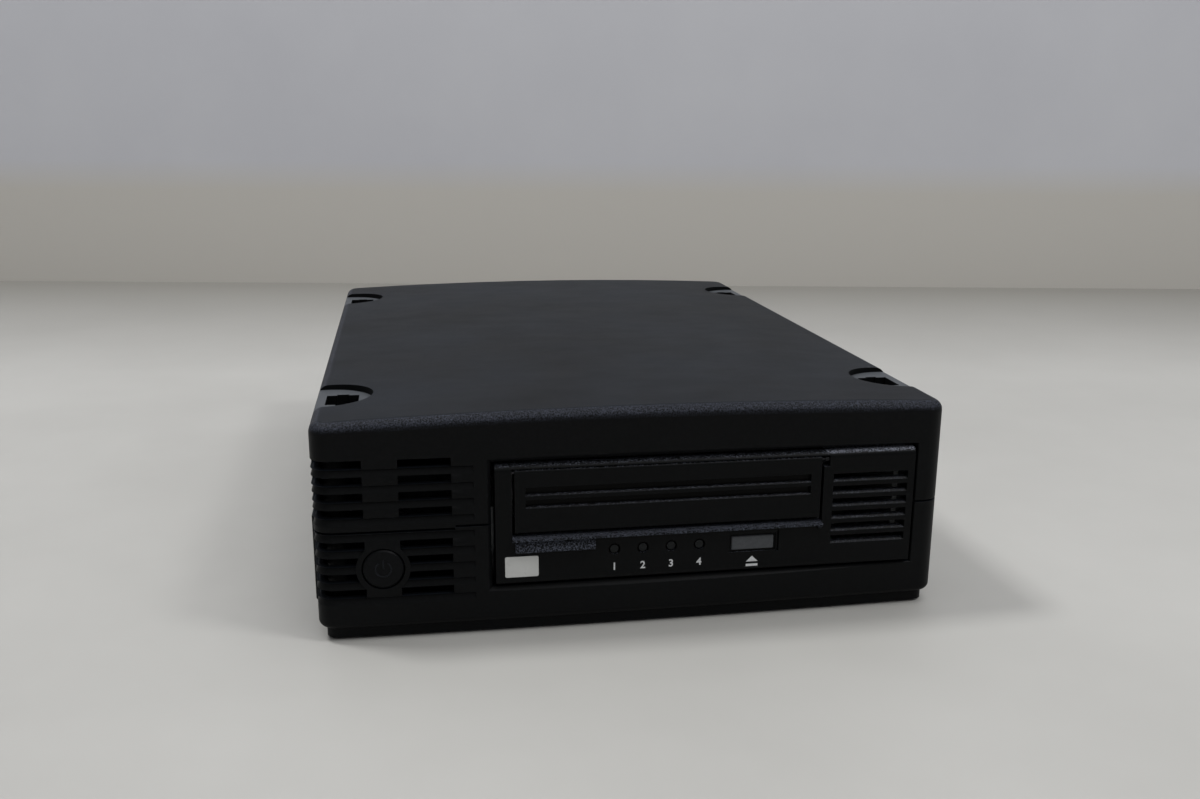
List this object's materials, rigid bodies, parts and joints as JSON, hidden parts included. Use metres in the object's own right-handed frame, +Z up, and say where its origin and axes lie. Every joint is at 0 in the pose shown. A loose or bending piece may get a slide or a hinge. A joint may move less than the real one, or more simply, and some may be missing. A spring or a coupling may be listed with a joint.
{
  "type": "data tape drive",
  "caption": "External data tape drive: louvred two-shell case with stacking sockets and feet, hinged cartridge door, loader, reels, tape guides, read/write head, fan and rear connectors.",
  "frame": {"origin": "on the ground under the middle of the case's outline", "axes": "+X to the right facing the front, +Y towards the rear, +Z up"},
  "size_m": [0.223, 0.3016, 0.0789],
  "materials": {
    "case_plastic": "fine-grained black moulding",
    "foot_rubber": "soft black rubber",
    "screw_steel": "zinc-plated steel",
    "switch_plastic": "black glass-filled plastic",
    "spring_steel": "bright spring wire",
    "button_plastic": "grained black plastic",
    "bezel_plastic": "spark-eroded black plastic",
    "eject_plastic": "smooth grey plastic",
    "circuit_board": "green circuit board",
    "light_pipe": "clear light pipe, unlit",
    "badge_plastic": "plain smooth plate",
    "cast_aluminium": "die-cast, fine matte",
    "sheet_steel": "zinc-coated sheet",
    "acetal_plastic": "natural white acetal",
    "motor_steel": "plated motor can",
    "reel_plastic": "smooth dark plastic",
    "head_metal": "ground head face",
    "supply_metal": "zinc-coated supply case",
    "fan_plastic": "black glass-filled plastic",
    "panel_metal": "black powder coat",
    "connector_shell": "bright tin plate",
    "cable_jacket": "soft grey jacket",
    "roller_steel": "polished guide roller"
  },
  "bodies": {
    "case": {"upper_shell": "case_plastic", "lower_shell": "case_plastic", "foot_front_left": "foot_rubber", "foot_front_right": "foot_rubber", "foot_rear_left": "foot_rubber", "foot_rear_right": "foot_rubber", "case_screws": "screw_steel", "power_switch": "switch_plastic", "power_button_spring": "spring_steel", "drive_bezel": "bezel_plastic", "door_hinge_pin": "spring_steel", "door_spring": "spring_steel", "eject_switch": "switch_plastic", "front_board": "circuit_board", "indicator_light_pipe": "light_pipe", "badge_plate": "badge_plastic", "drive_chassis": "cast_aluminium", "drive_cover": "sheet_steel", "cover_screws": "screw_steel", "load_motor": "motor_steel", "load_motor_bracket": "sheet_steel", "supply_reel_motor": "motor_steel", "take_up_motor": "motor_steel", "head_guide_shafts": "screw_steel", "drive_board": "circuit_board", "drive_connector": "switch_plastic", "drive_cradle": "sheet_steel", "cradle_screws": "screw_steel", "drive_side_screws": "screw_steel", "power_supply": "supply_metal", "fan_frame": "fan_plastic", "fan_screws": "screw_steel", "rear_panel": "panel_metal", "rear_panel_screws": "screw_steel", "mains_inlet": "switch_plastic", "data_connector": "connector_shell", "data_cable": "cable_jacket", "mains_lead": "cable_jacket", "dc_cable": "cable_jacket", "switch_lead": "cable_jacket", "fan_lead": "cable_jacket"},
    "door": {"cartridge_door": "bezel_plastic"},
    "eject_button": {"eject_button": "eject_plastic"},
    "power_button": {"power_button": "button_plastic"},
    "tray": {"cartridge_tray": "sheet_steel"},
    "cam": {"cam_slider": "acetal_plastic"},
    "load_pinion": {"load_pinion": "acetal_plastic"},
    "chuck": {"supply_chuck": "acetal_plastic"},
    "take_up": {"take_up_reel": "reel_plastic"},
    "roller_1": {"guide_roller_1": "roller_steel"},
    "roller_2": {"guide_roller_2": "roller_steel"},
    "roller_3": {"guide_roller_3": "roller_steel"},
    "roller_4": {"guide_roller_4": "roller_steel"},
    "head": {"head_carriage": "cast_aluminium", "read_write_head": "head_metal"},
    "fan": {"fan_rotor": "fan_plastic"}
  },
  "joints": [
    {"name": "door_hinge", "type": "hinge", "parent": "case", "child": "door", "pos_m": [0.0101, -0.14805, 0.05755], "axis": [1, 0, 0], "range_deg": [0, 88], "stiffness_Nm_per_rad": 0.004, "springref_deg": -20.05, "deforming": ["door_spring"]},
    {"name": "eject_button_press", "type": "slide", "parent": "case", "child": "eject_button", "axis": [0, 1, 0], "range_m": [0, 0.001], "stiffness_N_per_m": 400, "springref_m": -0.001},
    {"name": "power_button_press", "type": "slide", "parent": "case", "child": "power_button", "axis": [0, 1, 0], "range_m": [0, 0.002], "stiffness_N_per_m": 500, "springref_m": -0.002, "deforming": ["power_button_spring"]},
    {"name": "cam_slide", "type": "slide", "parent": "case", "child": "cam", "axis": [0, 1, 0], "range_m": [0, 0.012]},
    {"name": "tray_lower", "type": "slide", "parent": "case", "child": "tray", "axis": [0, 0, 1], "range_m": [-0.00351, 0.00001]},
    {"name": "load_pinion_spin", "type": "hinge", "parent": "case", "child": "load_pinion", "pos_m": [0.06495, -0.02545, 0.0455], "axis": [1, 0, 0], "range_deg": [-0.5, 115.09]},
    {"name": "chuck_spin", "type": "hinge", "parent": "case", "child": "chuck", "pos_m": [0.0101, -0.07045, 0.0285], "axis": [0, 0, 1], "continuous": true},
    {"name": "take_up_spin", "type": "hinge", "parent": "case", "child": "take_up", "pos_m": [-0.008, 0.02385, 0.0285], "axis": [0, 0, 1], "continuous": true},
    {"name": "roller_1_spin", "type": "hinge", "parent": "case", "child": "roller_1", "pos_m": [0.0541, -0.00615, 0.04225], "axis": [0, 0, 1], "continuous": true},
    {"name": "roller_2_spin", "type": "hinge", "parent": "case", "child": "roller_2", "pos_m": [0.0701, 0.00185, 0.04225], "axis": [0, 0, 1], "continuous": true},
    {"name": "roller_3_spin", "type": "hinge", "parent": "case", "child": "roller_3", "pos_m": [0.0701, 0.03385, 0.04225], "axis": [0, 0, 1], "continuous": true},
    {"name": "roller_4_spin", "type": "hinge", "parent": "case", "child": "roller_4", "pos_m": [0.0501, 0.04685, 0.04225], "axis": [0, 0, 1], "continuous": true},
    {"name": "head_step", "type": "slide", "parent": "case", "child": "head", "axis": [0, 0, 1], "range_m": [-0.0012, 0.0012]},
    {"name": "fan_spin", "type": "hinge", "parent": "case", "child": "fan", "pos_m": [-0.02, 0.14835, 0.038], "axis": [0, 1, 0], "continuous": true}
  ],
  "couplings": [
    {"joint": "tray_lower", "follows": "cam_slide", "ratio": -0.29167},
    {"joint": "load_pinion_spin", "follows": "cam_slide", "rad_per_m": 166.67}
  ]
}
